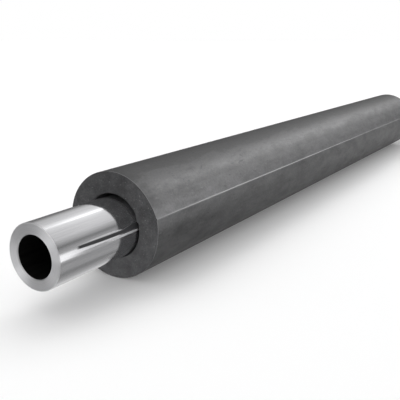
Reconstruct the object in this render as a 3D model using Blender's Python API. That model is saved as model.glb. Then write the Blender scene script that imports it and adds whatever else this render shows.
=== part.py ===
"""Foam pipe lagging fitted on a length of bright steel tube.

Metres, +Z up. The tube lies along X with its near end at -X. The origin is on the ground, under the
middle of the lagging.
"""
import math

import bmesh
import bpy

# Lagging: a foam tube for 28 mm pipe with a 9 mm wall, cut to length
FOAM_OUTER_RADIUS = 0.0230
FOAM_BORE_RADIUS = 0.0138
FOAM_LENGTH = 0.395
FOAM_FACETS = 48

# Seam: the slit along the lagging, closed again. Angles are measured about the tube's axis, from -Y upwards
SEAM_ANGLE = math.radians(15.4)
RIDGE_HEIGHT = 0.0005
RIDGE_SPREAD = math.radians(20.0)
BEAD_HEIGHT = 0.00025
BEAD_HALF_WIDTH = 0.0005
BEAD_STEPS = 2
LIP_FLAT = math.radians(4.0)
LIP_SPREAD = math.radians(15.0)
LIP_STEP = math.radians(2.4)

# Steel tube: 26 mm outside diameter with a 4.5 mm wall, sawn off square and turned at both ends
PIPE_OUTER_RADIUS = 0.0130
PIPE_BORE_RADIUS = 0.0085
PIPE_STICK_OUT = 0.0435
PIPE_SIDES = 64
OUTER_CHAMFER = 0.0003
BORE_CHAMFER = 0.0004

# The tube lies on the floor of the lagging's bore, and the seam's inner lip reaches in to meet it
SEAT_GAP = 0.0003

FOAM_AXIS_HEIGHT = FOAM_OUTER_RADIUS * math.cos(math.pi / FOAM_FACETS)
PIPE_DROP = FOAM_BORE_RADIUS - PIPE_OUTER_RADIUS - SEAT_GAP
PIPE_LENGTH = FOAM_LENGTH + 2 * PIPE_STICK_OUT
LIP_DEPTH = PIPE_DROP * (1.0 + math.sin(SEAM_ANGLE))


def clear_scene():
    for item in list(bpy.data.objects):
        bpy.data.objects.remove(item, do_unlink=True)


def make_material(name, colour, roughness, metallic):
    material = bpy.data.materials.new(name)
    material.use_nodes = True
    shader = material.node_tree.nodes["Principled BSDF"]
    shader.inputs["Base Color"].default_value = (*colour, 1.0)
    shader.inputs["Roughness"].default_value = roughness
    shader.inputs["Metallic"].default_value = metallic
    return material


def add_object(name, shape, material, height):
    """Turn a finished bmesh into a named object whose own axis lies at the given height."""
    bmesh.ops.recalc_face_normals(shape, faces=shape.faces)
    mesh = bpy.data.meshes.new(name)
    shape.to_mesh(mesh)
    shape.free()
    mesh.materials.append(material)
    mesh.shade_smooth()
    mesh.set_sharp_from_angle(angle=math.radians(30.0))
    item = bpy.data.objects.new(name, mesh)
    item.location = (0.0, 0.0, height)
    bpy.context.collection.objects.link(item)
    return item


def fade(distance, spread):
    """1 up to no distance, falling smoothly to 0 at the spread."""
    share = min(1.0, max(0.0, distance / spread))
    return 0.5 + 0.5 * math.cos(math.pi * share)


def outer_radius(from_seam):
    """The lagging's outside: round, rising to a low ridge at the seam with a fine bead along its top."""
    distance = abs(from_seam)
    ridge = RIDGE_HEIGHT * max(0.0, 1.0 - distance / RIDGE_SPREAD)
    bead = BEAD_HEIGHT * fade(distance * FOAM_OUTER_RADIUS, BEAD_HALF_WIDTH)
    return FOAM_OUTER_RADIUS + ridge + bead


def bore_radius(from_seam):
    """The lagging's inside: round, with the upper lip of the seam pressed in against the tube."""
    if from_seam > 0.0:
        share = fade(from_seam - LIP_FLAT, LIP_SPREAD - LIP_FLAT)
    else:
        share = fade(-from_seam, LIP_STEP)
    return FOAM_BORE_RADIUS - LIP_DEPTH * share


def section_angles():
    """Angles from the seam of the section's corners: even facets, and closer points at the seam."""
    step = math.tau / FOAM_FACETS
    lowest_corner = -math.pi / 2 - step / 2
    angles = [lowest_corner + k * step - SEAM_ANGLE for k in range(FOAM_FACETS)]
    bead_angle = BEAD_HALF_WIDTH / FOAM_OUTER_RADIUS
    angles += [bead_angle * k / BEAD_STEPS for k in range(-BEAD_STEPS, BEAD_STEPS + 1)]
    return sorted(angles)


def build_lagging():
    """The foam tube: one closed ring section, pushed along X."""
    shape = bmesh.new()
    rings = []
    for x in (-FOAM_LENGTH / 2, FOAM_LENGTH / 2):
        for radius_at in (outer_radius, bore_radius):
            ring = []
            for from_seam in section_angles():
                angle = SEAM_ANGLE + from_seam
                radius = radius_at(from_seam)
                ring.append(shape.verts.new((x, -radius * math.cos(angle), radius * math.sin(angle))))
            rings.append(ring)
    near_outer, near_bore, far_outer, far_bore = rings
    walls = ((near_outer, far_outer), (far_outer, far_bore), (far_bore, near_bore), (near_bore, near_outer))
    for first, second in walls:
        for k in range(len(first)):
            following = (k + 1) % len(first)
            shape.faces.new((first[k], first[following], second[following], second[k]))
    foam = make_material("dark_grey_foam", (0.068, 0.068, 0.070), 0.9, 0.0)
    return add_object("foam_lagging", shape, foam, FOAM_AXIS_HEIGHT)


def build_pipe():
    """The steel tube: its wall section with four chamfered corners, spun round X."""
    half = PIPE_LENGTH / 2
    section = (
        (-half, PIPE_BORE_RADIUS + BORE_CHAMFER),
        (-half, PIPE_OUTER_RADIUS - OUTER_CHAMFER),
        (-half + OUTER_CHAMFER, PIPE_OUTER_RADIUS),
        (half - OUTER_CHAMFER, PIPE_OUTER_RADIUS),
        (half, PIPE_OUTER_RADIUS - OUTER_CHAMFER),
        (half, PIPE_BORE_RADIUS + BORE_CHAMFER),
        (half - BORE_CHAMFER, PIPE_BORE_RADIUS),
        (-half + BORE_CHAMFER, PIPE_BORE_RADIUS),
    )
    shape = bmesh.new()
    corners = [shape.verts.new((x, 0.0, radius)) for x, radius in section]
    edges = [shape.edges.new((corners[k - 1], corners[k])) for k in range(len(corners))]
    bmesh.ops.spin(
        shape,
        geom=corners + edges,
        cent=(0.0, 0.0, 0.0),
        axis=(1.0, 0.0, 0.0),
        angle=math.tau,
        steps=PIPE_SIDES,
        use_merge=True,
    )
    steel = make_material("bright_steel", (0.56, 0.57, 0.58), 0.12, 1.0)
    return add_object("steel_pipe", shape, steel, FOAM_AXIS_HEIGHT - PIPE_DROP)


clear_scene()
build_lagging()
build_pipe()
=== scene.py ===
"""Foam pipe lagging on a bright steel tube, dressed for its portrait.

Metres, +Z up, the tube along X with its near end at -X, standing on z = 0.
"""
import math

import bmesh
import bpy
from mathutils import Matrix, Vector


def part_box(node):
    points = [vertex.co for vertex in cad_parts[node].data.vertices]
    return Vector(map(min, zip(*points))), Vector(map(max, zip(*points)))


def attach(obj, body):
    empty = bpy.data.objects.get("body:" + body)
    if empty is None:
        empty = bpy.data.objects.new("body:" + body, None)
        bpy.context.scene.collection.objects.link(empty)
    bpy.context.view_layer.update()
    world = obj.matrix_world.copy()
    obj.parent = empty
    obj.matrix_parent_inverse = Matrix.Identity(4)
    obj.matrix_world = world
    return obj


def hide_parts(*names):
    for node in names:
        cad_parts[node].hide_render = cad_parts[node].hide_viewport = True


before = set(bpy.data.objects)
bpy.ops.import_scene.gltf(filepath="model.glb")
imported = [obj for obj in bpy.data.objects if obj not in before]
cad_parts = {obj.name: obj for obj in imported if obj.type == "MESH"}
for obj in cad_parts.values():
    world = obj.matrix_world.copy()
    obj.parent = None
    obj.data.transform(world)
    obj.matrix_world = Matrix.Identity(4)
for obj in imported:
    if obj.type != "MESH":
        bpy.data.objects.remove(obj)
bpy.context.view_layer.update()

# Lagging
# One extruded tube of closed-cell polyethylene foam, slit along its length, slipped over the pipe and
# closed again. Its skin is smooth and matt from the die, and its two ends are cut square with a knife.


def add_node(tree, kind, inputs=None, **settings):
    """Add one node. An input is a value, another node's socket, or a node, whose first output feeds it."""
    node = tree.nodes.new(kind)
    for name, value in settings.items():
        setattr(node, name, value)
    for socket, value in (inputs or {}).items():
        if isinstance(value, bpy.types.Node):
            value = value.outputs[0]
        if isinstance(value, bpy.types.NodeSocket):
            tree.links.new(value, node.inputs[socket])
        else:
            node.inputs[socket].default_value = value
    return node


def linear(hex_colour):
    """An sRGB hex colour as the linear RGBA that shaders use."""
    channels = [int(hex_colour[k : k + 2], 16) / 255 for k in (1, 3, 5)]
    turned = [c / 12.92 if c <= 0.04045 else ((c + 0.055) / 1.055) ** 2.4 for c in channels]
    return (*turned, 1.0)


def set_greys(ramp, stops):
    """Set a ramp's grey stops, each given as (value, grey). The first and last values are its two ends."""
    low, high = stops[0][0], stops[-1][0]
    for value, _ in stops[1:-1]:
        ramp.elements.new((value - low) / (high - low))
    for stop, (_, grey) in zip(ramp.elements, stops):
        stop.color = (grey, grey, grey, 1.0)


MM = 0.001
foam_low, foam_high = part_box("foam_lagging")
foam_half = foam_high.x
foam_outer = 23.0 * MM
foam_bore = 13.8 * MM
foam_axis_height = foam_high.y
seam_angle = math.radians(15.4)

# Nearly all of a noise lies in this span
noise_span = {"From Min": 0.3, "From Max": 0.7}
# A range that falls from all to nothing, where it would otherwise rise
falling = {"To Min": 1.0, "To Max": 0.0}

# Extruded polyethylene foam with its own closed skin: a dull, slightly silky grey, mottled where the skin
# is thicker or thinner, with fine grains. Painted on it: a pale band of sheen on the flank above the slit,
# shade over the top and below the slit, and a highlight along the slit's bead
skin = bpy.data.materials.new("polyethylene_foam_skin")
skin.use_nodes = True
tree = skin.node_tree
shader = tree.nodes["Principled BSDF"]
where = add_node(tree, "ShaderNodeTexCoord")
parts = add_node(tree, "ShaderNodeSeparateXYZ", {0: where.outputs["Object"]})
above_axis = add_node(
    tree, "ShaderNodeMath", {0: parts.outputs[2], 1: foam_axis_height}, operation="SUBTRACT"
)
towards = add_node(tree, "ShaderNodeMath", {0: parts.outputs[1], 1: -1.0}, operation="MULTIPLY")
turn = add_node(tree, "ShaderNodeMath", {0: above_axis, 1: towards}, operation="ARCTAN2")
from_seam = add_node(tree, "ShaderNodeMath", {0: turn, 1: seam_angle}, operation="SUBTRACT")
drawn_out = add_node(
    tree, "ShaderNodeMapping", {"Vector": where.outputs["Object"], "Scale": (0.4, 1.0, 1.0)}
)
blotches = add_node(
    tree,
    "ShaderNodeTexNoise",
    {"Vector": drawn_out, "Scale": 1 / (6.0 * MM), "Detail": 8.0, "Roughness": 0.72},
)
grains = add_node(
    tree,
    "ShaderNodeTexNoise",
    {"Vector": where.outputs["Object"], "Scale": 1 / (1.0 * MM), "Detail": 2.0, "Roughness": 0.6},
)
# The blotches make the upper edge of the painted sheen band on the flank ragged
raggedness = add_node(
    tree, "ShaderNodeMapRange", {"Value": blotches, **noise_span, "To Min": -0.22, "To Max": 0.22}
)
high_up = add_node(tree, "ShaderNodeMapRange", {"Value": from_seam, "From Min": 0.2, "From Max": 0.5})
ragged_here = add_node(tree, "ShaderNodeMath", {0: raggedness, 1: high_up}, operation="MULTIPLY")
ragged_turn = add_node(tree, "ShaderNodeMath", {0: from_seam, 1: ragged_here})
# Painted light and shade: the skin's tone by its turn from the slit in radians, from below it (-) to above
# it, pale as sheen on the flank above the slit and dark as shade over the top and below the slit: (turn,
# grey)
flank_light_and_shade_stops = (
    (-1.2, 0.34),
    (-0.8, 0.34),
    (-0.4, 0.39),
    (-0.03, 0.54),
    (0.02, 0.94),
    (0.22, 0.90),
    (0.36, 0.76),
    (0.50, 0.72),
    (0.66, 0.76),
    (0.78, 0.66),
    (0.95, 0.35),
    (1.2, 0.22),
    (1.4, 0.15),
    (1.8, 0.34),
)
flank = add_node(
    tree,
    "ShaderNodeMapRange",
    {"Value": ragged_turn, "From Min": flank_light_and_shade_stops[0][0], "From Max": flank_light_and_shade_stops[-1][0]},
)
painted_flank_shading = add_node(tree, "ShaderNodeValToRGB", {0: flank})
set_greys(painted_flank_shading.color_ramp, flank_light_and_shade_stops)
blotch_tone = add_node(
    tree, "ShaderNodeMapRange", {"Value": blotches, **noise_span, "To Min": 0.73, "To Max": 1.29}
)
grain_tone = add_node(
    tree, "ShaderNodeMapRange", {"Value": grains, **noise_span, "To Min": 0.91, "To Max": 1.09}
)
# Handling has left a few small dark nicks and pale rubs in the skin
scars = add_node(
    tree,
    "ShaderNodeTexNoise",
    {"Vector": drawn_out, "Scale": 1 / (1.8 * MM), "Detail": 2.0, "Roughness": 0.5},
)
nick_tone = add_node(
    tree,
    "ShaderNodeMapRange",
    {"Value": scars, "From Min": 0.66, "From Max": 0.74, "To Min": 1.0, "To Max": 0.72},
)
rub_tone = add_node(
    tree,
    "ShaderNodeMapRange",
    {"Value": scars, "From Min": 0.26, "From Max": 0.34, "To Min": 1.22, "To Max": 1.0},
)
scarred = add_node(tree, "ShaderNodeMath", {0: nick_tone, 1: rub_tone}, operation="MULTIPLY")
grained = add_node(tree, "ShaderNodeMath", {0: grain_tone, 1: scarred}, operation="MULTIPLY")
mottle = add_node(tree, "ShaderNodeMath", {0: blotch_tone, 1: grained}, operation="MULTIPLY")
# Painted shade: the skin is drawn a little darker towards the far end
far_painted_shade = add_node(
    tree,
    "ShaderNodeMapRange",
    {"Value": parts, "From Min": 30 * MM, "From Max": 150 * MM, "To Min": 1.0, "To Max": 0.84},
)
far_mottle = add_node(tree, "ShaderNodeMath", {0: mottle, 1: far_painted_shade}, operation="MULTIPLY")
tone = add_node(tree, "ShaderNodeMath", {0: far_mottle, 1: painted_flank_shading}, operation="MULTIPLY")
# The skin is drawn paler along the slit towards the near end, so many radians each way
slit_paling_reach = 0.3
slit_paling_across = add_node(tree, "ShaderNodeMath", {0: from_seam, 1: from_seam}, operation="MULTIPLY")
paling_near_slit = add_node(
    tree,
    "ShaderNodeMapRange",
    {"Value": slit_paling_across, "From Max": slit_paling_reach**2, "To Min": 0.42, "To Max": 0.0},
    interpolation_type="SMOOTHSTEP",
)
paling_near_end = add_node(
    tree, "ShaderNodeMapRange", {"Value": parts, "From Min": -foam_half, "From Max": -60 * MM, **falling}
)
slit_paling = add_node(tree, "ShaderNodeMath", {0: paling_near_slit, 1: paling_near_end}, operation="MULTIPLY")
slit_paled_tone = add_node(tree, "ShaderNodeMath", {0: slit_paling, 1: tone, 2: tone}, operation="MULTIPLY_ADD")
skin_colour = add_node(
    tree, "ShaderNodeVectorMath", {0: linear("#747475")[:3], "Scale": slit_paled_tone}, operation="SCALE"
)
# Painted highlights, as pale lines: along the slit's bead, by the millimetres to each side of it, and on
# the rim where the knife went through the skin. The bead's painted highlight is weaker at the near end and
# fades towards the far one
bead_arc = add_node(tree, "ShaderNodeMath", {0: from_seam, 1: foam_outer / MM}, operation="MULTIPLY")
bead_away = add_node(tree, "ShaderNodeMath", {0: bead_arc}, operation="ABSOLUTE")
bead_line = add_node(
    tree, "ShaderNodeMapRange", {"Value": bead_away, "From Min": 0.12, "From Max": 0.36, **falling}
)
bead_highlight_fade = add_node(
    tree,
    "ShaderNodeMapRange",
    {"Value": parts, "From Min": -90 * MM, "From Max": 60 * MM, "To Min": 1.0, "To Max": 0.08},
)
bead_highlight_near_end = add_node(
    tree,
    "ShaderNodeMapRange",
    {"Value": parts, "From Min": -foam_half, "From Max": -165 * MM, "To Min": 0.35, "To Max": 1.0},
)
bead_highlight_left = add_node(tree, "ShaderNodeMath", {0: bead_highlight_fade, 1: bead_highlight_near_end}, operation="MULTIPLY")
bead_painted_highlight = add_node(tree, "ShaderNodeMath", {0: bead_line, 1: bead_highlight_left}, operation="MULTIPLY")
along_tube = add_node(tree, "ShaderNodeMath", {0: parts}, operation="ABSOLUTE")
rim_painted_highlight = add_node(
    tree,
    "ShaderNodeMapRange",
    {
        "Value": along_tube,
        "From Min": foam_half - 0.55 * MM,
        "From Max": foam_half - 0.3 * MM,
        "To Max": 0.60,
    },
)
pale = add_node(tree, "ShaderNodeMath", {0: bead_painted_highlight, 1: rim_painted_highlight}, operation="MAXIMUM")
# A colour mix blends its sockets 6 and 7, and gives the colour at its output 2
pale_lined = add_node(
    tree, "ShaderNodeMix", {0: pale, 6: skin_colour, 7: linear("#a6a6a8")}, data_type="RGBA"
)
skin_rough = add_node(
    tree, "ShaderNodeMapRange", {"Value": blotches, **noise_span, "To Min": 0.52, "To Max": 0.4}
)
skin_bump = add_node(tree, "ShaderNodeBump", {"Height": grains, "Distance": 0.10 * MM, "Strength": 0.6})
tree.links.new(pale_lined.outputs[2], shader.inputs["Base Color"])
tree.links.new(skin_rough.outputs[0], shader.inputs["Roughness"])
tree.links.new(skin_bump.outputs[0], shader.inputs["Normal"])
shader.inputs["Specular IOR Level"].default_value = 0.2

# The same foam cut open with a knife: dead matt, with dark open cells and a few bright cell walls
cut = bpy.data.materials.new("polyethylene_foam_cut_face")
cut.use_nodes = True
tree = cut.node_tree
shader = tree.nodes["Principled BSDF"]
where = add_node(tree, "ShaderNodeTexCoord")
cells = add_node(
    tree,
    "ShaderNodeTexVoronoi",
    {"Vector": where.outputs["Object"], "Scale": 1 / (0.8 * MM)},
    feature="F1",
)
cloudy = add_node(
    tree,
    "ShaderNodeTexNoise",
    {"Vector": where.outputs["Object"], "Scale": 1 / (4.0 * MM), "Detail": 5.0},
)
cell_tone = add_node(
    tree,
    "ShaderNodeMapRange",
    {
        "Value": cells.outputs["Distance"],
        "From Min": 0.1,
        "From Max": 0.7,
        "To Min": 0.86,
        "To Max": 1.14,
    },
)
cloud_tone = add_node(
    tree, "ShaderNodeMapRange", {"Value": cloudy, **noise_span, "To Min": 0.78, "To Max": 1.22}
)
cut_tone = add_node(tree, "ShaderNodeMath", {0: cell_tone, 1: cloud_tone}, operation="MULTIPLY")
cut_colour = add_node(
    tree, "ShaderNodeVectorMath", {0: linear("#3f3f40")[:3], "Scale": cut_tone}, operation="SCALE"
)
specks = add_node(
    tree,
    "ShaderNodeTexNoise",
    {"Vector": where.outputs["Object"], "Scale": 1 / (0.6 * MM), "Detail": 1.0},
)
bright_walls = add_node(
    tree, "ShaderNodeMapRange", {"Value": specks, "From Min": 0.70, "From Max": 0.77, "To Max": 0.65}
)
specked = add_node(
    tree, "ShaderNodeMix", {0: bright_walls, 6: cut_colour, 7: linear("#8c8c8d")}, data_type="RGBA"
)
cut_bump = add_node(
    tree, "ShaderNodeBump", {"Height": cells.outputs["Distance"], "Distance": 0.12 * MM, "Strength": 0.6}
)
tree.links.new(specked.outputs[2], shader.inputs["Base Color"])
tree.links.new(cut_bump.outputs[0], shader.inputs["Normal"])
shader.inputs["Roughness"].default_value = 0.9
shader.inputs["Specular IOR Level"].default_value = 0.3

foam_inputs = {
    "Outer radius": ("NodeSocketFloat", foam_outer),
    "Bore radius": ("NodeSocketFloat", foam_bore),
    "Length": ("NodeSocketFloat", foam_high.x - foam_low.x),
    "Axis height": ("NodeSocketFloat", foam_axis_height),
    "Seam angle": ("NodeSocketFloat", seam_angle),
    "Ridge height": ("NodeSocketFloat", 0.5 * MM),
    "Ridge spread": ("NodeSocketFloat", math.radians(20.0)),
    "Bead height": ("NodeSocketFloat", 0.25 * MM),
    "Bead half width": ("NodeSocketFloat", 0.5 * MM),
    "Lip depth": ("NodeSocketFloat", 0.63 * MM),
    "Lip flat": ("NodeSocketFloat", math.radians(4.0)),
    "Lip spread": ("NodeSocketFloat", math.radians(15.0)),
    "Lip step": ("NodeSocketFloat", math.radians(2.4)),
    "Edge round": ("NodeSocketFloat", 0.25 * MM),
    "Steps round": ("NodeSocketInt", 360),
    "Cuts each side": ("NodeSocketInt", 36),
    "Seam crowding": ("NodeSocketFloat", 0.25),
    "Pit depth": ("NodeSocketFloat", 0.15 * MM),
    "Pit size": ("NodeSocketFloat", 1.2 * MM),
    "Seed": ("NodeSocketFloat", 3.0),
    "Skin": ("NodeSocketMaterial", skin),
    "Cut face": ("NodeSocketMaterial", cut),
}
tree = bpy.data.node_groups.new("extruded_foam_tube", "GeometryNodeTree")
identifiers = {}
for name, (kind, _) in foam_inputs.items():
    socket = tree.interface.new_socket(name, in_out="INPUT", socket_type=kind)
    identifiers[name] = socket.identifier
tree.interface.new_socket("Tube", in_out="OUTPUT", socket_type="NodeSocketGeometry")
given = add_node(tree, "NodeGroupInput").outputs

# The wall's long section, with softly rounded corners, is swept round a ring
mean_sum = add_node(tree, "ShaderNodeMath", {0: given["Outer radius"], 1: given["Bore radius"]})
mean = add_node(tree, "ShaderNodeMath", {0: mean_sum, 1: 0.5}, operation="MULTIPLY")
wall = add_node(
    tree, "ShaderNodeMath", {0: given["Outer radius"], 1: given["Bore radius"]}, operation="SUBTRACT"
)
ring = add_node(
    tree, "GeometryNodeCurvePrimitiveCircle", {"Resolution": given["Steps round"], "Radius": mean}
)
section = add_node(
    tree, "GeometryNodeCurvePrimitiveQuadrilateral", {"Width": wall, "Height": given["Length"]}
)
rounded = add_node(
    tree,
    "GeometryNodeFilletCurve",
    {"Curve": section, "Radius": given["Edge round"], "Count": 2},
    mode="POLY",
)
# Only the four sides are cut up: each starts at the last of the three points that round a corner
number = add_node(tree, "GeometryNodeInputIndex")
in_corner = add_node(tree, "ShaderNodeMath", {0: number, 1: 3.0}, operation="MODULO")
side_starts = add_node(tree, "ShaderNodeMath", {0: in_corner, 1: 1.5}, operation="GREATER_THAN")
cuts = add_node(
    tree, "ShaderNodeMath", {0: side_starts, 1: given["Cuts each side"]}, operation="MULTIPLY"
)
fine = add_node(tree, "GeometryNodeSubdivideCurve", {"Curve": rounded, "Cuts": cuts})
swept = add_node(tree, "GeometryNodeCurveToMesh", {"Curve": ring, "Profile Curve": fine})
facing_out = add_node(tree, "GeometryNodeFlipFaces", {"Mesh": swept})

# Each point's place round the ring, counted from the seam, where the points are crowded together
place = add_node(tree, "GeometryNodeInputPosition")
along = add_node(tree, "ShaderNodeSeparateXYZ", {0: place})
turn = add_node(tree, "ShaderNodeMath", {0: along.outputs[1], 1: along}, operation="ARCTAN2")
spread = add_node(tree, "ShaderNodeMath", {0: turn}, operation="ABSOLUTE")
crowd = add_node(
    tree,
    "ShaderNodeMapRange",
    {"Value": spread, "From Max": math.pi, "To Min": given["Seam crowding"], "To Max": 1.0},
)
from_seam = add_node(tree, "ShaderNodeMath", {0: turn, 1: crowd}, operation="MULTIPLY")
distance = add_node(tree, "ShaderNodeMath", {0: from_seam}, operation="ABSOLUTE")
arc = add_node(tree, "ShaderNodeMath", {0: distance, 1: given["Outer radius"]}, operation="MULTIPLY")

# How far out through the wall the point is, from 0 in the bore to 1 on the skin
flat_place = add_node(tree, "ShaderNodeVectorMath", {0: place, 1: (1.0, 1.0, 0.0)}, operation="MULTIPLY")
reach = add_node(tree, "ShaderNodeVectorMath", {0: flat_place}, operation="LENGTH")
share = add_node(
    tree,
    "ShaderNodeMapRange",
    {
        "Value": reach.outputs["Value"],
        "From Min": given["Bore radius"],
        "From Max": given["Outer radius"],
    },
)

# The skin rises to a low ridge at the seam, with a fine bead along its top
ridge = add_node(
    tree,
    "ShaderNodeMapRange",
    {
        "Value": distance,
        "From Max": given["Ridge spread"],
        "To Min": given["Ridge height"],
        "To Max": 0.0,
    },
)
bead = add_node(
    tree,
    "ShaderNodeMapRange",
    {"Value": arc, "From Max": given["Bead half width"], "To Min": given["Bead height"], "To Max": 0.0},
    interpolation_type="SMOOTHSTEP",
)
raised = add_node(tree, "ShaderNodeMath", {0: ridge, 1: bead})
skin_radius = add_node(tree, "ShaderNodeMath", {0: given["Outer radius"], 1: raised})

# In the bore the upper edge of the slit is pressed in against the pipe, and the lower edge steps back
lip = add_node(
    tree,
    "ShaderNodeMapRange",
    {
        "Value": from_seam,
        "From Min": given["Lip flat"],
        "From Max": given["Lip spread"],
        "To Min": given["Lip depth"],
        "To Max": 0.0,
    },
    interpolation_type="SMOOTHSTEP",
)
below = add_node(tree, "ShaderNodeMath", {0: from_seam, 1: given["Lip step"]}, operation="DIVIDE")
stepped = add_node(tree, "ShaderNodeMapRange", {"Value": below, "From Min": -1.0, "From Max": 0.0})
pressed = add_node(tree, "ShaderNodeMath", {0: lip, 1: stepped}, operation="MULTIPLY")
bore_radius = add_node(
    tree, "ShaderNodeMath", {0: given["Bore radius"], 1: pressed}, operation="SUBTRACT"
)
radius = add_node(
    tree, "ShaderNodeMapRange", {"Value": share, "To Min": bore_radius, "To Max": skin_radius}
)

# Open cells pit the two cut faces, but not the rounded edges beside them
face_tolerance = 0.01 * MM
half = add_node(tree, "ShaderNodeMath", {0: given["Length"], 1: 0.5}, operation="MULTIPLY")
outward = add_node(tree, "ShaderNodeMath", {0: along.outputs[2]}, operation="ABSOLUTE")
short_of_face = add_node(tree, "ShaderNodeMath", {0: half, 1: outward}, operation="SUBTRACT")
on_face = add_node(tree, "ShaderNodeMath", {0: short_of_face, 1: face_tolerance}, operation="LESS_THAN")
pit_scale = add_node(tree, "ShaderNodeMath", {0: 1.0, 1: given["Pit size"]}, operation="DIVIDE")
cells = add_node(
    tree,
    "ShaderNodeTexNoise",
    {"Vector": place, "W": given["Seed"], "Scale": pit_scale, "Detail": 3.0},
    noise_dimensions="4D",
)
pits = add_node(tree, "ShaderNodeMapRange", {"Value": cells, "From Min": 0.5, "From Max": 0.75})
pitted = add_node(tree, "ShaderNodeMath", {0: pits, 1: on_face}, operation="MULTIPLY")
sunk = add_node(tree, "ShaderNodeMath", {0: pitted, 1: given["Pit depth"]}, operation="MULTIPLY")
side = add_node(tree, "ShaderNodeMath", {0: along.outputs[2]}, operation="SIGN")
drawn_in = add_node(tree, "ShaderNodeMath", {0: sunk, 1: side}, operation="MULTIPLY")
length_place = add_node(tree, "ShaderNodeMath", {0: along.outputs[2], 1: drawn_in}, operation="SUBTRACT")

# Every point goes to its radius and its turn about the lagging's axis, and none below the ground
inward = add_node(tree, "ShaderNodeMath", {0: radius, 1: -1.0}, operation="MULTIPLY")
spoke = add_node(tree, "ShaderNodeCombineXYZ", {0: length_place, 1: inward})
seam_turn = add_node(tree, "ShaderNodeMath", {0: given["Seam angle"], 1: from_seam})
back_turn = add_node(tree, "ShaderNodeMath", {0: seam_turn, 1: -1.0}, operation="MULTIPLY")
turned = add_node(
    tree,
    "ShaderNodeVectorRotate",
    {"Vector": spoke, "Axis": (1.0, 0.0, 0.0), "Angle": back_turn},
    rotation_type="AXIS_ANGLE",
)
lift = add_node(tree, "ShaderNodeCombineXYZ", {2: given["Axis height"]})
lifted = add_node(tree, "ShaderNodeVectorMath", {0: turned, 1: lift})
grounded = add_node(tree, "ShaderNodeVectorMath", {0: lifted, 1: (-1.0, -1.0, 0.0)}, operation="MAXIMUM")
placed = add_node(tree, "GeometryNodeSetPosition", {"Geometry": facing_out, "Position": grounded})
skinned = add_node(tree, "GeometryNodeSetMaterial", {"Geometry": placed, "Material": given["Skin"]})
end_place = add_node(tree, "GeometryNodeInputPosition")
end_along = add_node(tree, "ShaderNodeSeparateXYZ", {0: end_place})
end_outward = add_node(tree, "ShaderNodeMath", {0: end_along}, operation="ABSOLUTE")
end_short = add_node(tree, "ShaderNodeMath", {0: half, 1: end_outward}, operation="SUBTRACT")
face_depth = add_node(tree, "ShaderNodeMath", {0: given["Edge round"], 1: 0.8}, operation="MULTIPLY")
is_end = add_node(tree, "ShaderNodeMath", {0: end_short, 1: face_depth}, operation="LESS_THAN")
ended = add_node(
    tree,
    "GeometryNodeSetMaterial",
    {"Geometry": skinned, "Selection": is_end, "Material": given["Cut face"]},
)
smooth = add_node(tree, "GeometryNodeSetShadeSmooth", {"Geometry": ended})
real = add_node(tree, "GeometryNodeRealizeInstances", {"Geometry": smooth})
add_node(tree, "NodeGroupOutput", {0: real})

holder = bpy.data.objects.new("lagging_maker", bpy.data.meshes.new("lagging_maker"))
bpy.context.scene.collection.objects.link(holder)
maker = holder.modifiers.new("extruded_foam_tube", "NODES")
maker.node_group = tree
for name, (_, value) in foam_inputs.items():
    maker[identifiers[name]] = value
bpy.context.view_layer.update()
made = bpy.data.meshes.new_from_object(holder.evaluated_get(bpy.context.evaluated_depsgraph_get()))
bpy.data.objects.remove(holder, do_unlink=True)
lagging = bpy.data.objects.new("lagging_tube", made)
bpy.context.scene.collection.objects.link(lagging)
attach(lagging, "root")
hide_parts("foam_lagging")

# Steel tube
# A length of cold-drawn precision tube with a thick wall, polished bright, its ends faced on a lathe
# and lightly chamfered. It lies on the floor of the lagging's bore.

pipe_low, pipe_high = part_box("steel_pipe")
pipe_outer = (pipe_high.y - pipe_low.y) / 2
pipe_bore = 8.5 * MM
pipe_axis_height = (pipe_low.z + pipe_high.z) / 2
pipe_half = pipe_high.x
outer_chamfer = 0.3 * MM
bore_chamfer = 0.4 * MM
pipe_steps = 192

# Cold-drawn steel polished lengthwise: a near mirror, with faint drawing lines along the tube that
# soften some of its streaks. A painted reflection, a dark streak, runs out from under the lagging's slit,
# with painted highlights below and above it
bright = bpy.data.materials.new("polished_drawn_steel")
bright.use_nodes = True
tree = bright.node_tree
shader = tree.nodes["Principled BSDF"]
where = add_node(tree, "ShaderNodeTexCoord")
parts = add_node(tree, "ShaderNodeSeparateXYZ", {0: where.outputs["Object"]})
above_axis = add_node(
    tree, "ShaderNodeMath", {0: parts.outputs[2], 1: pipe_axis_height}, operation="SUBTRACT"
)
towards = add_node(tree, "ShaderNodeMath", {0: parts.outputs[1], 1: -1.0}, operation="MULTIPLY")
turn = add_node(tree, "ShaderNodeMath", {0: above_axis, 1: towards}, operation="ARCTAN2")
around = add_node(tree, "ShaderNodeMath", {0: turn, 1: pipe_outer / MM}, operation="MULTIPLY")
along = add_node(tree, "ShaderNodeMath", {0: parts, 1: 1 / (40.0 * MM)}, operation="MULTIPLY")
unrolled = add_node(tree, "ShaderNodeCombineXYZ", {0: along, 1: around})
lines = add_node(
    tree, "ShaderNodeTexNoise", {"Vector": unrolled, "Scale": 1.6, "Detail": 5.0, "Roughness": 0.65}
)
wisps = add_node(
    tree, "ShaderNodeTexNoise", {"Vector": unrolled, "Scale": 0.45, "Detail": 4.0, "Roughness": 0.6}
)
polish = add_node(
    tree,
    "ShaderNodeMapRange",
    {"Value": wisps, "From Min": 0.35, "From Max": 0.7, "To Min": 0.06, "To Max": 0.15},
)
line_tone = add_node(
    tree, "ShaderNodeMapRange", {"Value": lines, **noise_span, "To Min": 0.94, "To Max": 1.04}
)
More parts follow.
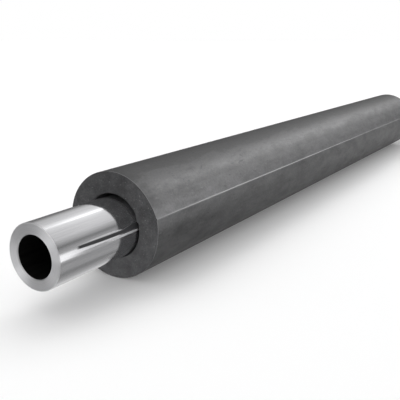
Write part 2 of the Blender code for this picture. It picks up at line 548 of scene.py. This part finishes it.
# The painted dark streak of reflection, between its upper edge and a lower edge that rises to it. The edges
# are turns round the tube from its -Y side, and they change with the millimetres out from the lagging
mm_out = add_node(
    tree,
    "ShaderNodeMapRange",
    {"Value": parts, "From Min": -foam_half, "From Max": -foam_half - 50 * MM, "To Max": 50.0},
)
streak_run = add_node(tree, "ShaderNodeMapRange", {"Value": mm_out, "From Max": 34.0})
streak_rise = add_node(tree, "ShaderNodeMath", {0: streak_run, 1: 2.5}, operation="POWER")
streak_low = add_node(
    tree,
    "ShaderNodeMapRange",
    {"Value": streak_rise, "To Min": math.radians(7.8), "To Max": math.radians(11.8)},
)
streak_high = add_node(
    tree,
    "ShaderNodeMapRange",
    {
        "Value": mm_out,
        "From Min": 8.0,
        "From Max": 32.0,
        "To Min": math.radians(14.2),
        "To Max": math.radians(16.8),
    },
)
streak_mouth = add_node(
    tree,
    "ShaderNodeMapRange",
    {
        "Value": mm_out,
        "From Min": 2.0,
        "From Max": 9.0,
        "To Min": math.radians(19.0),
        "To Max": math.radians(14.2),
    },
)
streak_top = add_node(tree, "ShaderNodeMath", {0: streak_high, 1: streak_mouth}, operation="MAXIMUM")
over_low = add_node(tree, "ShaderNodeMath", {0: turn, 1: streak_low}, operation="SUBTRACT")
over_high = add_node(tree, "ShaderNodeMath", {0: turn, 1: streak_top}, operation="SUBTRACT")
under_high = add_node(tree, "ShaderNodeMath", {0: over_high, 1: -1.0}, operation="MULTIPLY")
streak_in = add_node(tree, "ShaderNodeMath", {0: over_low, 1: under_high}, operation="MINIMUM")
streak_wide = add_node(
    tree,
    "ShaderNodeMapRange",
    {"Value": streak_in, "From Min": math.radians(-0.5), "From Max": math.radians(1.0)},
    interpolation_type="SMOOTHSTEP",
)
streak_end = add_node(
    tree,
    "ShaderNodeMapRange",
    {"Value": mm_out, "From Min": 32.8, "From Max": 35.2, **falling},
    interpolation_type="SMOOTHSTEP",
)
painted_dark_streak = add_node(tree, "ShaderNodeMath", {0: streak_wide, 1: streak_end}, operation="MULTIPLY")
streak_paling = add_node(
    tree, "ShaderNodeMapRange", {"Value": mm_out, "From Min": 6.0, "From Max": 14.0, **falling}
)
streak_colour = add_node(
    tree, "ShaderNodeMix", {0: streak_paling, 6: linear("#525253"), 7: linear("#5e5e60")}, data_type="RGBA"
)
# A painted highlight line below the dark streak, and another painted highlight above it
low_glint_away = add_node(tree, "ShaderNodeMath", {0: turn, 1: math.radians(4.5)}, operation="SUBTRACT")
low_glint_off = add_node(tree, "ShaderNodeMath", {0: low_glint_away}, operation="ABSOLUTE")
low_glint_band = add_node(
    tree,
    "ShaderNodeMapRange",
    {"Value": low_glint_off, "From Min": math.radians(1.3), "From Max": math.radians(2.8), **falling},
)
low_glint_fade = add_node(
    tree, "ShaderNodeMapRange", {"Value": mm_out, "From Min": 9.0, "From Max": 19.0, **falling}
)
low_painted_glint = add_node(tree, "ShaderNodeMath", {0: low_glint_band, 1: low_glint_fade}, operation="MULTIPLY")
steel_colour = add_node(
    tree, "ShaderNodeVectorMath", {0: linear("#cbcbcd")[:3], "Scale": line_tone}, operation="SCALE"
)
high_glint_top = add_node(
    tree,
    "ShaderNodeMapRange",
    {
        "Value": mm_out,
        "From Min": 8.4,
        "From Max": 14.0,
        "To Min": math.radians(15.4),
        "To Max": math.radians(18.8),
    },
)
under_high_glint = add_node(tree, "ShaderNodeMath", {0: high_glint_top, 1: turn}, operation="SUBTRACT")
high_glint_in = add_node(tree, "ShaderNodeMath", {0: over_high, 1: under_high_glint}, operation="MINIMUM")
high_glint_band = add_node(
    tree,
    "ShaderNodeMapRange",
    {"Value": high_glint_in, "From Max": math.radians(0.8)},
    interpolation_type="SMOOTHSTEP",
)
high_glint_fade = add_node(
    tree, "ShaderNodeMapRange", {"Value": mm_out, "From Min": 26.0, "From Max": 34.0, **falling}
)
high_painted_glint = add_node(tree, "ShaderNodeMath", {0: high_glint_band, 1: high_glint_fade}, operation="MULTIPLY")
painted_glints = add_node(tree, "ShaderNodeMath", {0: high_painted_glint, 1: low_painted_glint}, operation="MAXIMUM")
glinted = add_node(
    tree, "ShaderNodeMix", {0: painted_glints, 6: steel_colour, 7: linear("#f4f4f6")}, data_type="RGBA"
)
streaked = add_node(
    tree, "ShaderNodeMix", {0: painted_dark_streak, 6: glinted.outputs[2], 7: streak_colour.outputs[2]}, data_type="RGBA"
)
# Close to the lagging the painted highlight above the streak is made rough too, and stays bright inside the
# foam's reflection
near_glint_start = add_node(tree, "ShaderNodeMapRange", {"Value": mm_out, "From Min": 8.4, "From Max": 10.4})
near_glint_stop = add_node(
    tree, "ShaderNodeMapRange", {"Value": mm_out, "From Min": 12.0, "From Max": 16.0, **falling}
)
near_glint_long = add_node(tree, "ShaderNodeMath", {0: near_glint_start, 1: near_glint_stop}, operation="MULTIPLY")
near_rough_glint = add_node(tree, "ShaderNodeMath", {0: near_glint_long, 1: high_glint_band}, operation="MULTIPLY")
rough_glints = add_node(tree, "ShaderNodeMath", {0: low_painted_glint, 1: near_rough_glint}, operation="MAXIMUM")
dulled = add_node(tree, "ShaderNodeMath", {0: rough_glints, 1: painted_dark_streak}, operation="MAXIMUM")
roughened = add_node(tree, "ShaderNodeMix", {0: dulled, 2: polish, 3: 0.62})
line_bump = add_node(tree, "ShaderNodeBump", {"Height": lines, "Distance": 0.008 * MM, "Strength": 0.5})
tree.links.new(streaked.outputs[2], shader.inputs["Base Color"])
tree.links.new(roughened.outputs[0], shader.inputs["Roughness"])
tree.links.new(line_bump.outputs[0], shader.inputs["Normal"])
shader.inputs["Metallic"].default_value = 0.97

# The same steel faced on a lathe: fine rings round the bore, which spread a light outwards into a bow tie
turned_steel = bpy.data.materials.new("lathe_turned_steel")
turned_steel.use_nodes = True
tree = turned_steel.node_tree
shader = tree.nodes["Principled BSDF"]
where = add_node(tree, "ShaderNodeTexCoord")
centred = add_node(
    tree,
    "ShaderNodeMapping",
    {"Vector": where.outputs["Object"], "Location": (0.0, 0.0, -pipe_axis_height)},
)
outwards = add_node(tree, "ShaderNodeVectorMath", {0: centred, 1: (0.0, 1.0, 1.0)}, operation="MULTIPLY")
out_from_axis = add_node(tree, "ShaderNodeVectorMath", {0: outwards}, operation="LENGTH")
groove_place = add_node(
    tree, "ShaderNodeMath", {0: out_from_axis.outputs["Value"], 1: 1 / (0.3 * MM)}, operation="MULTIPLY"
)
grooves = add_node(
    tree,
    "ShaderNodeTexNoise",
    {"W": groove_place, "Scale": 1.0, "Detail": 4.0, "Roughness": 0.7},
    noise_dimensions="1D",
)
groove_tone = add_node(
    tree, "ShaderNodeMapRange", {"Value": grooves, **noise_span, "To Min": 0.90, "To Max": 1.08}
)
# A painted highlight: from where the face meets the outer chamfer, outwards, the steel is drawn paler
chamfer_painted_highlight = add_node(
    tree,
    "ShaderNodeMapRange",
    {
        "Value": out_from_axis.outputs["Value"],
        "From Min": pipe_outer - outer_chamfer - 0.05 * MM,
        "From Max": pipe_outer - outer_chamfer + 0.05 * MM,
        "To Min": 1.0,
        "To Max": 1.15,
    },
)
turned_tone = add_node(tree, "ShaderNodeMath", {0: groove_tone, 1: chamfer_painted_highlight}, operation="MULTIPLY")
turned_colour = add_node(
    tree, "ShaderNodeVectorMath", {0: linear("#cfcfd1")[:3], "Scale": turned_tone}, operation="SCALE"
)
tree.links.new(turned_colour.outputs[0], shader.inputs["Base Color"])
tree.links.new(outwards.outputs[0], shader.inputs["Tangent"])
shader.inputs["Metallic"].default_value = 1.0
shader.inputs["Roughness"].default_value = 0.45
shader.inputs["Anisotropic"].default_value = 1.0

# The bore keeps the dull scale of the drawing, and is painted dark as the shade inside it
bore_scale_and_shade = bpy.data.materials.new("dull_bore_steel")
bore_scale_and_shade.use_nodes = True
tree = bore_scale_and_shade.node_tree
shader = tree.nodes["Principled BSDF"]
where = add_node(tree, "ShaderNodeTexCoord")
long_way = add_node(
    tree, "ShaderNodeMapping", {"Vector": where.outputs["Object"], "Scale": (0.1, 1.0, 1.0)}
)
flakes = add_node(
    tree, "ShaderNodeTexNoise", {"Vector": long_way, "Scale": 1 / (1.5 * MM), "Detail": 3.0}
)
flake_tone = add_node(
    tree, "ShaderNodeMapRange", {"Value": flakes, **noise_span, "To Min": 0.7, "To Max": 1.3}
)
bore_colour = add_node(
    tree, "ShaderNodeVectorMath", {0: linear("#242322")[:3], "Scale": flake_tone}, operation="SCALE"
)
tree.links.new(bore_colour.outputs[0], shader.inputs["Base Color"])
shader.inputs["Metallic"].default_value = 1.0
shader.inputs["Roughness"].default_value = 0.7

wall_section = []
for end in (-1, 1):
    corner = [
        (end * pipe_half, pipe_bore + bore_chamfer),
        (end * pipe_half, pipe_outer - outer_chamfer),
        (end * (pipe_half - outer_chamfer), pipe_outer),
    ]
    inside = (end * (pipe_half - bore_chamfer), pipe_bore)
    wall_section += [inside] + corner if end < 0 else corner[::-1] + [inside]
shape = bmesh.new()
corners = [shape.verts.new((x, 0.0, radius)) for x, radius in wall_section]
edges = [shape.edges.new((corners[k - 1], corners[k])) for k in range(len(corners))]
bmesh.ops.spin(
    shape,
    geom=corners + edges,
    cent=(0.0, 0.0, 0.0),
    axis=(1.0, 0.0, 0.0),
    angle=math.tau,
    steps=pipe_steps,
    use_merge=True,
)
bmesh.ops.recalc_face_normals(shape, faces=shape.faces)
# The ends and their chamfers are turned, the bore is dull, and the outside is polished
for face in shape.faces:
    if abs(face.normal.x) > 0.5:
        face.material_index = 1
    elif face.calc_center_median().yz.length < pipe_bore + 0.1 * MM:
        face.material_index = 2
bmesh.ops.translate(shape, verts=shape.verts, vec=(0.0, 0.0, pipe_axis_height))
pipe_mesh = bpy.data.meshes.new("steel_tube")
shape.to_mesh(pipe_mesh)
shape.free()
for finish in (bright, turned_steel, bore_scale_and_shade):
    pipe_mesh.materials.append(finish)
pipe_mesh.shade_smooth()
pipe_mesh.set_sharp_from_angle(angle=math.radians(25.0))
pipe = bpy.data.objects.new("steel_tube", pipe_mesh)
bpy.context.scene.collection.objects.link(pipe)
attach(pipe, "root")
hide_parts("steel_pipe")

# Shooting table
# A wide white acrylic table, lit a little from below, which the part lies on.


def add_sheet(name, corners, finish):
    """Add a flat sheet through four corners, in one material."""
    mesh = bpy.data.meshes.new(name)
    mesh.from_pydata(corners, [], [(0, 1, 2, 3)])
    mesh.materials.append(finish)
    sheet = bpy.data.objects.new(name, mesh)
    bpy.context.scene.collection.objects.link(sheet)
    return sheet


# White acrylic, opal and dull: an even white, and whiter far out, where more light comes up through it
acrylic = bpy.data.materials.new("white_acrylic")
acrylic.use_nodes = True
tree = acrylic.node_tree
shader = tree.nodes["Principled BSDF"]
shader.inputs["Base Color"].default_value = linear("#e6e6e6")
shader.inputs["Roughness"].default_value = 1.0
shader.inputs["Specular IOR Level"].default_value = 0.0
shader.inputs["Emission Color"].default_value = (1.0, 1.0, 1.0, 1.0)
where = add_node(tree, "ShaderNodeTexCoord")
how_far = add_node(tree, "ShaderNodeVectorMath", {0: where.outputs["Object"]}, operation="LENGTH")
lit_from_below = add_node(
    tree,
    "ShaderNodeMapRange",
    {"Value": how_far.outputs["Value"], "From Min": 0.5, "From Max": 1.5, "To Min": 0.14, "To Max": 0.40},
)
tree.links.new(lit_from_below.outputs[0], shader.inputs["Emission Strength"])
table_half = 8.0
table_corners = [(x * table_half, y * table_half, 0.0) for x, y in ((-1, -1), (1, -1), (1, 1), (-1, 1))]
floor = add_sheet("shooting_table", table_corners, acrylic)

# Light
# A tent of white cloth round the table, open towards the near end, with a bright slot along its top. A
# soft box and a strip light help it, and cards and a screen show as bands and streaks in the tube's polish.

world = bpy.data.worlds.new("light_tent")
bpy.context.scene.world = world
bpy.context.scene.view_settings.view_transform = "Standard"
world.use_nodes = True
tree = world.node_tree
tree.nodes.clear()
# The cloth's brightness by degrees round the tube's axis, from the -Y side (0) over the top to the far one
tent_cloth = (
    (0, 0.50),
    (12, 0.55),
    (25, 0.29),
    (37, 0.60),
    (50, 0.90),
    (80, 1.05),
    (96, 1.25),
    (104, 1.35),
    (112, 1.35),
    (120, 1.05),
    (137, 0.86),
    (150, 0.70),
    (165, 0.30),
    (180, 0.15),
)
# The ramp holds it as a share of this
brightest = 2.2
direction = add_node(tree, "ShaderNodeTexCoord")
parts = add_node(tree, "ShaderNodeSeparateXYZ", {0: direction.outputs["Generated"]})
towards = add_node(tree, "ShaderNodeMath", {0: parts.outputs[1], 1: -1.0}, operation="MULTIPLY")
turn = add_node(tree, "ShaderNodeMath", {0: parts.outputs[2], 1: towards}, operation="ARCTAN2")
over = add_node(tree, "ShaderNodeMapRange", {"Value": turn, "From Max": math.pi})
cloth = add_node(tree, "ShaderNodeValToRGB", {0: over})
set_greys(cloth.color_ramp, [(degrees, level / brightest) for degrees, level in tent_cloth])
# Along the tube the tent is brightest beside the lagging's near end, and a grey cloth closes the far end.
# The stops are (x of the direction, share of the cloth's brightness)
tent_length = (
    (-1.0, 0.84),
    (0.645, 0.84),
    (0.69, 1.0),
    (0.725, 1.0),
    (0.76, 0.72),
    (0.90, 0.62),
    (0.96, 0.35),
    (1.0, 0.35),
)
lengthwise = add_node(tree, "ShaderNodeMapRange", {"Value": parts, "From Min": -1.0})
along_tent = add_node(tree, "ShaderNodeValToRGB", {0: lengthwise})
set_greys(along_tent.color_ramp, tent_length)
strength = add_node(tree, "ShaderNodeMath", {0: along_tent, 1: brightest}, operation="MULTIPLY")
cloth_light = add_node(tree, "ShaderNodeBackground", {"Color": cloth, "Strength": strength})
# The near end is open on a bright wall
open_end = add_node(
    tree, "ShaderNodeMapRange", {"Value": parts, "From Min": -0.80, "From Max": -0.93, "To Max": 1.1}
)
wall_light = add_node(tree, "ShaderNodeBackground", {"Color": (1.0, 1.0, 1.0, 1.0), "Strength": open_end})
# A bright slot runs along the top cloth, a little beyond the tube, and fades towards the open end
slot_turn = math.radians(104.0)
slot_off = add_node(tree, "ShaderNodeMath", {0: turn, 1: slot_turn}, operation="SUBTRACT")
slot_away = add_node(tree, "ShaderNodeMath", {0: slot_off}, operation="ABSOLUTE")
slot_band = add_node(
    tree,
    "ShaderNodeMapRange",
    {"Value": slot_away, "From Max": math.radians(9.0), "To Min": 0.85, "To Max": 0.0},
    interpolation_type="SMOOTHSTEP",
)
slot_fade = add_node(
    tree,
    "ShaderNodeMapRange",
    {"Value": parts, "From Min": 0.645, "From Max": 0.69, "To Min": 0.1, "To Max": 1.0},
)
slot = add_node(tree, "ShaderNodeMath", {0: slot_band, 1: slot_fade}, operation="MULTIPLY")
slot_light = add_node(tree, "ShaderNodeBackground", {"Color": (1.0, 1.0, 1.0, 1.0), "Strength": slot})
top_light = add_node(tree, "ShaderNodeAddShader", {0: cloth_light, 1: slot_light})
tent_light = add_node(tree, "ShaderNodeAddShader", {0: top_light, 1: wall_light})
# The camera sees plain white behind the table
backdrop = add_node(tree, "ShaderNodeBackground", {"Color": (1.0, 1.0, 1.0, 1.0), "Strength": 1.0})
ray = add_node(tree, "ShaderNodeLightPath")
seen = add_node(
    tree, "ShaderNodeMixShader", {0: ray.outputs["Is Camera Ray"], 1: tent_light, 2: backdrop}
)
add_node(tree, "ShaderNodeOutputWorld", {0: seen})


def add_soft_box(name, width, height, watts, place, aim):
    """Add a rectangular light at a place, turned towards the point that it aims at."""
    lamp = bpy.data.lights.new(name, "AREA")
    lamp.shape = "RECTANGLE"
    lamp.size = width
    lamp.size_y = height
    lamp.energy = watts
    box = bpy.data.objects.new(name, lamp)
    box.location = place
    box.rotation_euler = (Vector(aim) - box.location).to_track_quat("-Z", "Y").to_euler()
    bpy.context.scene.collection.objects.link(box)
    return box


# A soft box behind and above, which the polish doesn't see: it whitens the table and softens the shadow
key_box = add_soft_box("key_soft_box", 1.5, 0.95, 8.7, place=(0.35, 0.55, 1.25), aim=(-0.1, 0.0, 0.0))
key_box.visible_glossy = False

# A strip light beyond the far end, turned on the foam alone, for the soft sheen along its flank
sheen_strip = add_soft_box("sheen_strip", 0.5, 0.5, 7.2, place=(1.25, -0.40, 0.88), aim=(0.0, 0.0, 0.0))
sheen_strip.visible_diffuse = False
foam_alone = bpy.data.collections.new("foam_alone")
foam_alone.objects.link(lagging)
sheen_strip.light_linking.receiver_collection = foam_alone

# Cards on the table that only the polish sees. Each has its two ends in x and its stops across it, which
# are (y, brightness)
card_height = 0.4 * MM
lying_cards = {
    # Beside the tube and under it, for the bands along its lower half
    "side_card": (
        (-0.300, -0.100),
        (
            (-0.105, 0.55),
            (-0.067, 0.55),
            (-0.048, 0.39),
            (-0.031, 0.46),
            (-0.0255, 0.46),
            (-0.0195, 0.30),
            (-0.016, 0.34),
        ),
    ),
    "under_card": (
        (-0.2408, -0.1976),
        ((-0.016, 0.34), (-0.0115, 0.46), (-0.0075, 0.58), (-0.0035, 0.76), (0.0, 0.70), (0.040, 0.62)),
    ),
    # Before the tube's end, for the bow tie on its turned face
    "end_card": ((-0.400, -0.286), ((0.061, 0.9), (0.066, 0.06), (0.450, 0.06), (0.500, 0.9))),
    "foot_card": (
        (-0.286, -0.241),
        (
            (0.012, 0.9),
            (0.018, 0.45),
            (0.028, 0.45),
            (0.034, 1.1),
            (0.085, 1.1),
            (0.095, 0.06),
            (0.450, 0.06),
            (0.500, 0.9),
        ),
    ),
    # Far out behind, for the dark band along the tube's far side
    "back_card": ((-0.19, 3.0), ((0.028, 0.15), (3.0, 0.15))),
}
for name, ((near_x, far_x), stops) in lying_cards.items():
    low_y, high_y = stops[0][0], stops[-1][0]
    paint = bpy.data.materials.new(name)
    paint.use_nodes = True
    tree = paint.node_tree
    tree.nodes.clear()
    where = add_node(tree, "ShaderNodeTexCoord")
    parts = add_node(tree, "ShaderNodeSeparateXYZ", {0: where.outputs["Object"]})
    across = add_node(
        tree, "ShaderNodeMapRange", {"Value": parts.outputs[1], "From Min": low_y, "From Max": high_y}
    )
    shades = add_node(tree, "ShaderNodeValToRGB", {0: across})
    set_greys(shades.color_ramp, stops)
    glow = add_node(tree, "ShaderNodeEmission", {"Color": shades})
    add_node(tree, "ShaderNodeOutputMaterial", {0: glow})
    outline = ((near_x, low_y), (far_x, low_y), (far_x, high_y), (near_x, high_y))
    card = add_sheet(name, [(x, y, card_height) for x, y in outline], paint)
    card.visible_camera = False
    card.visible_diffuse = False
    card.visible_shadow = False

# A small white card, made as a light, leans before the lagging's cut face. The polish doesn't see it
bounce_card = add_soft_box(
    "bounce_card", 0.07, 0.012, 0.022, place=(-0.248, 0.0, 0.006), aim=(0.602, 0.0, 0.506)
)
bounce_card.visible_glossy = False
bounce_card.light_linking.receiver_collection = foam_alone

# A small bright screen with soft edges stands beside the near end, for the bright patch at the tip of
# the painted dark streak
screen_near, screen_far = -0.235, -0.150
screen_y, screen_top = -0.070, 0.040
screen_paint = bpy.data.materials.new("bright_screen")
screen_paint.use_nodes = True
tree = screen_paint.node_tree
tree.nodes.clear()
where = add_node(tree, "ShaderNodeTexCoord")
parts = add_node(tree, "ShaderNodeSeparateXYZ", {0: where.outputs["Object"]})
lengthwise = add_node(
    tree,
    "ShaderNodeMapRange",
    {"Value": parts, "From Min": -0.188, "From Max": -0.168, **falling},
    interpolation_type="SMOOTHSTEP",
)
high_edge = add_node(
    tree,
    "ShaderNodeMapRange",
    {"Value": parts.outputs[2], "From Min": 0.018, "From Max": 0.036, **falling},
    interpolation_type="SMOOTHSTEP",
)
screened = add_node(tree, "ShaderNodeMath", {0: lengthwise, 1: high_edge}, operation="MULTIPLY")
clear = add_node(tree, "ShaderNodeBsdfTransparent")
glow = add_node(tree, "ShaderNodeEmission", {"Strength": 1.55})
screen_mix = add_node(tree, "ShaderNodeMixShader", {0: screened, 1: clear, 2: glow})
add_node(tree, "ShaderNodeOutputMaterial", {0: screen_mix})
outline = ((screen_near, 0.0), (screen_far, 0.0), (screen_far, screen_top), (screen_near, screen_top))
screen = add_sheet("bright_screen", [(x, screen_y, z) for x, z in outline], screen_paint)
screen.visible_camera = False
screen.visible_diffuse = False
screen.visible_shadow = False

# Camera
# At the height and angle of the photograph, with no shift and no depth of field. Its place, direction and
# lens come from fitting a pinhole camera to the photograph's outlines.

camera = bpy.data.cameras.new("portrait_camera")
camera.sensor_width = 36.0
camera.lens = 55.3
camera_object = bpy.data.objects.new("portrait_camera", camera)
camera_object.location = (-0.38458, -0.1615, 0.09982)
view_direction = Vector((0.81586, 0.51648, -0.26003))
camera_object.rotation_euler = view_direction.to_track_quat("-Z", "Y").to_euler()
bpy.context.scene.collection.objects.link(camera_object)
bpy.context.scene.camera = camera_object
